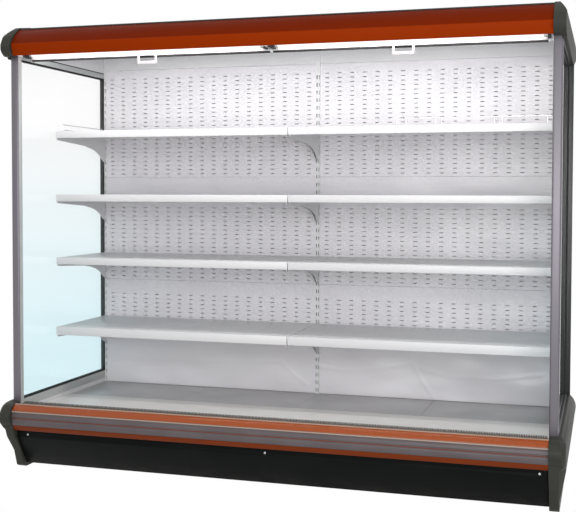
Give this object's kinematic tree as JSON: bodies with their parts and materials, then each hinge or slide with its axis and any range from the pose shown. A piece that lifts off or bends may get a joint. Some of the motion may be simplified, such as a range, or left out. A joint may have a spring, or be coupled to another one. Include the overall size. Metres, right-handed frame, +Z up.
{
  "type": "open multideck display fridge",
  "caption": "Open-front multideck refrigerated display cabinet with glazed ends, hook-on shelves, lit canopy, night blinds and lift-out deck.",
  "frame": {"origin": "on the floor under the middle of the cabinet's outline", "axes": "+X to the right seen from the front, +Y to the rear, +Z up"},
  "size_m": [2.666, 1.08, 2.18],
  "materials": {
    "galvanised_steel": "dull zinc",
    "black_enamel": "satin",
    "zinc_fastener": "satin",
    "white_enamel": "satin powder coat",
    "insulated_panel": "coated skin on foam",
    "rear_enamel": "satin powder coat",
    "orange_paint": "gloss",
    "bumper_grey": "soft gloss",
    "cap_grey": "fine grain",
    "post_anodised": "satin anodised",
    "black_profile": "satin",
    "clear_glass": "polished",
    "seal_rubber": "matt",
    "deck_grey": "satin",
    "grille_grey": "satin",
    "fan_black": "moulded",
    "motor_grey": "satin",
    "coil_aluminium": "bare",
    "pipe_copper": "bare copper",
    "drain_plastic": "moulded",
    "comb_plastic": "moulded",
    "lamp_glass": "frosted",
    "holder_grey": "moulded",
    "blind_fabric": "woven, coated",
    "blind_white": "satin",
    "handle_white": "gloss",
    "wire_chrome": "bright"
  },
  "bodies": {
    "root": {"base_frame": "galvanised_steel", "levelling_feet": "zinc_fastener", "kick_plate": "black_enamel", "kick_screws": "zinc_fastener", "base_tub": "insulated_panel", "bumper_rail": "bumper_grey", "bumper_top_trim": "orange_paint", "bumper_lower_trim": "orange_paint", "base_cap_left": "cap_grey", "base_cap_right": "cap_grey", "deck_supports": "galvanised_steel", "fan_plate": "galvanised_steel", "fan_motors": "motor_grey", "evaporator_coil": "coil_aluminium", "refrigerant_pipes": "pipe_copper", "drain_pipe": "drain_plastic", "back_panel_insulated": "insulated_panel", "slotted_uprights": "galvanised_steel", "rear_panels_upper": "rear_enamel", "rear_panels_middle": "rear_enamel", "rear_panels_lower": "rear_enamel", "end_frames": "post_anodised", "end_glass": "clear_glass", "glass_seals": "seal_rubber", "rear_corner_profiles": "black_profile", "roof_panel": "insulated_panel", "head_liners": "white_enamel", "canopy_cap_left": "cap_grey", "canopy_cap_right": "cap_grey", "fascia_panel": "orange_paint", "canopy_top_cover": "black_profile", "canopy_brackets": "galvanised_steel", "ceiling_duct_panel": "white_enamel", "air_honeycomb": "comb_plastic", "lamp_tubes": "lamp_glass", "lamp_holders": "holder_grey", "blind_cassettes": "blind_white", "price_rails": "white_enamel", "shelf_brackets": "white_enamel", "wire_guards": "wire_chrome", "shelf_tray_1": "white_enamel", "shelf_tray_2": "white_enamel", "shelf_tray_3": "white_enamel", "shelf_tray_4": "white_enamel", "blind_cloth_left": "blind_fabric", "blind_cloth_right": "blind_fabric"},
    "blind_left": {"blind_bar_left": "blind_white", "blind_handle_left": "handle_white"},
    "roller_left": {"blind_roller_left": "blind_fabric"},
    "blind_right": {"blind_bar_right": "blind_white", "blind_handle_right": "handle_white"},
    "roller_right": {"blind_roller_right": "blind_fabric"},
    "fan_1": {"fan_rotor_1": "fan_black"},
    "fan_2": {"fan_rotor_2": "fan_black"},
    "fan_3": {"fan_rotor_3": "fan_black"},
    "deck_1": {"deck_tray_1": "deck_grey"},
    "deck_2": {"deck_tray_2": "deck_grey"},
    "deck_3": {"deck_tray_3": "deck_grey"},
    "deck_4": {"deck_tray_4": "deck_grey"},
    "grille": {"return_grille": "grille_grey"}
  },
  "joints": [
    {"name": "blind_left_slide", "type": "slide", "parent": "root", "child": "blind_left", "axis": [0, 0, -1], "range_m": [0, 1.6], "stiffness_N_per_m": 10, "springref_m": -2, "deforming": ["blind_cloth_left"]},
    {"name": "roller_left_turn", "type": "hinge", "parent": "root", "child": "roller_left", "pos_m": [-0.625, -0.323, 2.056], "axis": [1, 0, 0], "range_deg": [0, 3825]},
    {"name": "blind_right_slide", "type": "slide", "parent": "root", "child": "blind_right", "axis": [0, 0, -1], "range_m": [0, 1.6], "stiffness_N_per_m": 10, "springref_m": -2, "deforming": ["blind_cloth_right"]},
    {"name": "roller_right_turn", "type": "hinge", "parent": "root", "child": "roller_right", "pos_m": [0.625, -0.323, 2.056], "axis": [1, 0, 0], "range_deg": [0, 3825]},
    {"name": "fan_1_spin", "type": "hinge", "parent": "root", "child": "fan_1", "pos_m": [-0.78, -0.0529, 0.1986], "axis": [0, -0.7071, 0.7071], "continuous": true},
    {"name": "fan_2_spin", "type": "hinge", "parent": "root", "child": "fan_2", "pos_m": [0, -0.0529, 0.1986], "axis": [0, -0.7071, 0.7071], "continuous": true},
    {"name": "fan_3_spin", "type": "hinge", "parent": "root", "child": "fan_3", "pos_m": [0.78, -0.0529, 0.1986], "axis": [0, -0.7071, 0.7071], "continuous": true},
    {"name": "deck_1_lift", "type": "slide", "parent": "root", "child": "deck_1", "axis": [0, 0, 1], "range_m": [0, 0.12]},
    {"name": "deck_2_lift", "type": "slide", "parent": "root", "child": "deck_2", "axis": [0, 0, 1], "range_m": [0, 0.12]},
    {"name": "deck_3_lift", "type": "slide", "parent": "root", "child": "deck_3", "axis": [0, 0, 1], "range_m": [0, 0.12]},
    {"name": "deck_4_lift", "type": "slide", "parent": "root", "child": "deck_4", "axis": [0, 0, 1], "range_m": [0, 0.12]},
    {"name": "grille_lift", "type": "slide", "parent": "root", "child": "grille", "axis": [0, 0, 1], "range_m": [0, 0.06]}
  ],
  "couplings": [
    {"joint": "roller_left_turn", "follows": "blind_left_slide", "rad_per_m": 41.667},
    {"joint": "roller_right_turn", "follows": "blind_right_slide", "rad_per_m": 41.667}
  ]
}
